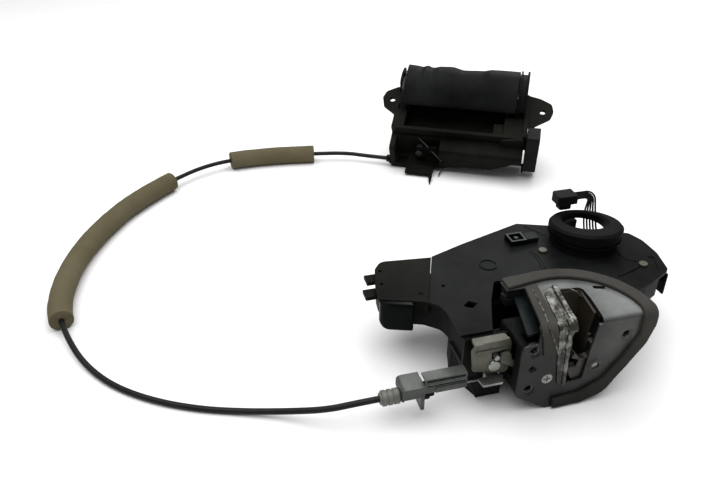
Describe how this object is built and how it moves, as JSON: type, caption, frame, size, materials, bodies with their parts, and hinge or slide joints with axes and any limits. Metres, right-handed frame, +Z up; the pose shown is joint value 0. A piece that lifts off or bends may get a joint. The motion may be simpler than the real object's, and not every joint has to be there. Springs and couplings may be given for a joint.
{
  "type": "trunk lock",
  "caption": "Back-door latch with a rotating claw in a slotted steel face, a deep housing with a sealing ring, and a cable run to a hinged pull-handle unit",
  "frame": {"origin": "midway between the two left fixing holes of the latch face, at the front skin of the steel", "axes": "+X to the right along the face seen from outside the door, +Y into the door behind the face, +Z up, away from the bench the set lies on"},
  "size_m": [0.534, 0.4691, 0.1096],
  "materials": {
    "zinc": "worn zinc plate",
    "yellow_zinc": "yellow passivated zinc",
    "bright_steel": "satin",
    "dark_steel": "greased dark steel",
    "black_plastic": "fine grain, dusty",
    "gloss_black": "semi-gloss",
    "grey_plastic": "matte",
    "black_rubber": "matte",
    "grey_foam": "closed cell foam",
    "beige_foam": "open cell foam, soiled",
    "light_plastic": "matte",
    "insulation": "satin"
  },
  "bodies": {
    "latch_set": {"latch_face_plate": "zinc", "lock_case": "black_plastic", "back_plate": "zinc", "claw_pin": "bright_steel", "mouth_liner": "black_plastic", "mouth_bumper": "black_rubber", "mouth_lip": "bright_steel", "foam_strip": "grey_foam", "foam_gasket": "grey_foam", "plate_screw": "bright_steel", "lever_bracket": "yellow_zinc", "lever_rivet": "bright_steel", "cable_rail": "yellow_zinc", "cable_bracket": "yellow_zinc", "cable_ferrule": "black_plastic", "cable_bush": "black_rubber", "housing_cover": "black_plastic", "housing_base": "black_plastic", "arm_cover": "black_plastic", "arm_front_cover": "gloss_black", "ring_seal": "black_rubber", "wire_clip": "gloss_black", "clip_block": "grey_plastic", "end_clip": "light_plastic", "housing_screws": "bright_steel", "blade_pin": "bright_steel", "pigtail_wires": "insulation", "pigtail_connector": "black_plastic", "cable_conduit": "black_rubber", "foam_sleeve_long": "beige_foam", "foam_sleeve_short": "beige_foam", "handle_frame": "black_plastic", "handle_body": "black_plastic", "flap_pin": "bright_steel", "flap_spring": "bright_steel", "crank_pin": "bright_steel", "cable_gland": "black_plastic", "socket_block": "black_plastic", "pocket_insert": "grey_plastic"},
    "claw": {"claw": "dark_steel"},
    "pawl": {"pawl": "dark_steel", "pawl_lever": "yellow_zinc", "pawl_pin": "bright_steel"},
    "release_lever": {"release_lever": "bright_steel"},
    "inner_wire": {"inner_wire": "bright_steel"},
    "grip_flap": {"grip_flap": "black_plastic"},
    "bell_crank": {"bell_crank": "gloss_black"},
    "blade_lever": {"blade_lever": "grey_plastic"}
  },
  "joints": [
    {"name": "flap_hinge", "type": "hinge", "parent": "latch_set", "child": "grip_flap", "pos_m": [0.12714, 0.42235, 0.05257], "axis": [-0.8763, 0.4818, 0], "range_deg": [0, 28], "stiffness_Nm_per_rad": 0.25, "springref_deg": -17.19},
    {"name": "bell_crank_pivot", "type": "hinge", "parent": "latch_set", "child": "bell_crank", "pos_m": [0.05294, 0.38287, -0.01428], "axis": [-0.4254, -0.7737, -0.4695], "range_deg": [0, 25]},
    {"name": "inner_wire_slide", "type": "slide", "parent": "latch_set", "child": "inner_wire", "axis": [-1, 0, 0], "range_m": [0, 0.00779]},
    {"name": "release_lever_pivot", "type": "hinge", "parent": "latch_set", "child": "release_lever", "pos_m": [-0.0215, 0.017, -0.001], "axis": [0, 1, 0], "range_deg": [0, 24]},
    {"name": "pawl_pivot", "type": "hinge", "parent": "latch_set", "child": "pawl", "pos_m": [0.02, 0.006, -0.0255], "axis": [0, 1, 0], "range_deg": [0, 8.5]},
    {"name": "claw_pivot", "type": "hinge", "parent": "latch_set", "child": "claw", "pos_m": [0.048, 0.005, -0.005], "axis": [0, -1, 0], "range_deg": [0, 60]},
    {"name": "blade_pivot", "type": "hinge", "parent": "latch_set", "child": "blade_lever", "pos_m": [0.013, 0.052, 0.0275], "axis": [0, 0, -1], "range_deg": [0, 10]}
  ],
  "couplings": [
    {"joint": "bell_crank_pivot", "follows": "flap_hinge", "ratio": 0.89286},
    {"joint": "inner_wire_slide", "follows": "flap_hinge", "m_per_rad": 0.01594},
    {"joint": "release_lever_pivot", "follows": "flap_hinge", "ratio": 0.85714},
    {"joint": "pawl_pivot", "follows": "flap_hinge", "ratio": 0.30357}
  ]
}
